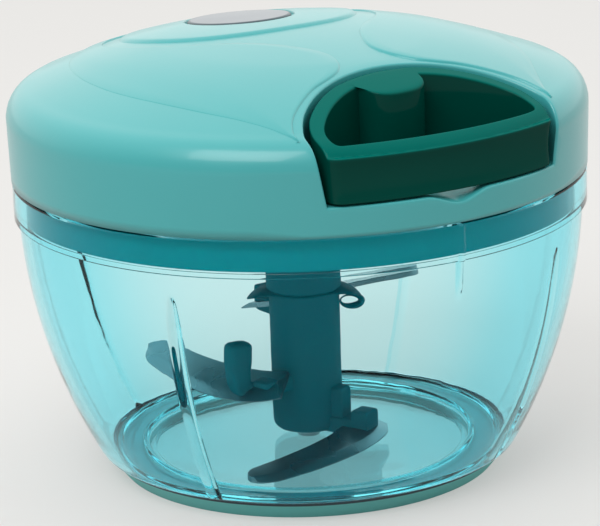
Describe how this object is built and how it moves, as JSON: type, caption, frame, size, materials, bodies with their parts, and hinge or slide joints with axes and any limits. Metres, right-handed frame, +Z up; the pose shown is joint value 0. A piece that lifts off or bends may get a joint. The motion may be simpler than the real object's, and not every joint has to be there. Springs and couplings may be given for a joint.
{
  "type": "pull cord food chopper",
  "caption": "Pull-cord food chopper: clear bowl on a soft base ring, bladed column on a pin, and a domed lid with a sprung cord reel and a D-shaped pull handle.",
  "frame": {"origin": "on the table under the middle of the bowl", "axes": "+Z up along the bowl's and column's axis; the handle is pulled out along -Y"},
  "size_m": [0.128, 0.128, 0.0983],
  "materials": {
    "lid_plastic": "glossy teal moulded plastic",
    "handle_plastic": "satin dark green moulded plastic",
    "badge_metal": "satin silver plate, bare",
    "clear_plastic": "clear aqua moulded plastic",
    "column_plastic": "dark teal moulded plastic",
    "inner_lid_plastic": "teal moulded plastic",
    "blade_steel": "ground stainless steel",
    "pin_steel": "turned stainless steel",
    "ring_rubber": "soft grey-green rubber",
    "drive_plastic": "natural acetal",
    "cord_fibre": "braided nylon cord",
    "spring_steel": "blued spring strip"
  },
  "bodies": {
    "bowl_base": {"bowl": "clear_plastic", "base_ring": "ring_rubber", "bowl_pivot_pin": "pin_steel"},
    "blade_set": {"blade_column": "column_plastic", "lower_blade": "blade_steel", "middle_blade": "blade_steel", "upper_blade": "blade_steel"},
    "lid": {"lid_cover": "lid_plastic", "badge_plate": "badge_metal", "inner_lid": "inner_lid_plastic", "housing_screws": "pin_steel", "coupler_bush": "drive_plastic", "reel_axle": "pin_steel", "axle_clip": "spring_steel", "cord_eyelet": "pin_steel"},
    "coupler": {"drive_coupler": "drive_plastic"},
    "reel": {"cord_reel": "drive_plastic", "pull_cord_winding": "cord_fibre", "recoil_spring": "spring_steel", "spring_cover": "drive_plastic", "pawl_right": "drive_plastic", "pawl_left": "drive_plastic"},
    "handle": {"pull_handle": "handle_plastic", "cord_knot": "cord_fibre", "pull_cord_lead": "cord_fibre"}
  },
  "joints": [
    {"name": "lid_lift", "type": "slide", "parent": "bowl_base", "child": "lid", "axis": [0, 0, 1], "range_m": [0, 0.08]},
    {"name": "handle_pull", "type": "slide", "parent": "lid", "child": "handle", "axis": [0, -1, 0], "range_m": [0, 0.3], "stiffness_N_per_m": 12, "springref_m": -0.15, "deforming": ["pull_cord_lead"]},
    {"name": "reel_spin", "type": "hinge", "parent": "lid", "child": "reel", "pos_m": [0, 0, 0.084], "axis": [0, 0, 1], "range_deg": [0, 860]},
    {"name": "coupler_spin", "type": "hinge", "parent": "lid", "child": "coupler", "pos_m": [0, 0, 0.066], "axis": [0, 0, 1], "range_deg": [0, 860]},
    {"name": "blade_spin", "type": "hinge", "parent": "bowl_base", "child": "blade_set", "pos_m": [0, 0, 0.02], "axis": [0, 0, 1], "range_deg": [0, 860]}
  ],
  "couplings": [
    {"joint": "reel_spin", "follows": "handle_pull", "rad_per_m": 50},
    {"joint": "coupler_spin", "follows": "handle_pull", "rad_per_m": 50},
    {"joint": "blade_spin", "follows": "handle_pull", "rad_per_m": 50}
  ]
}
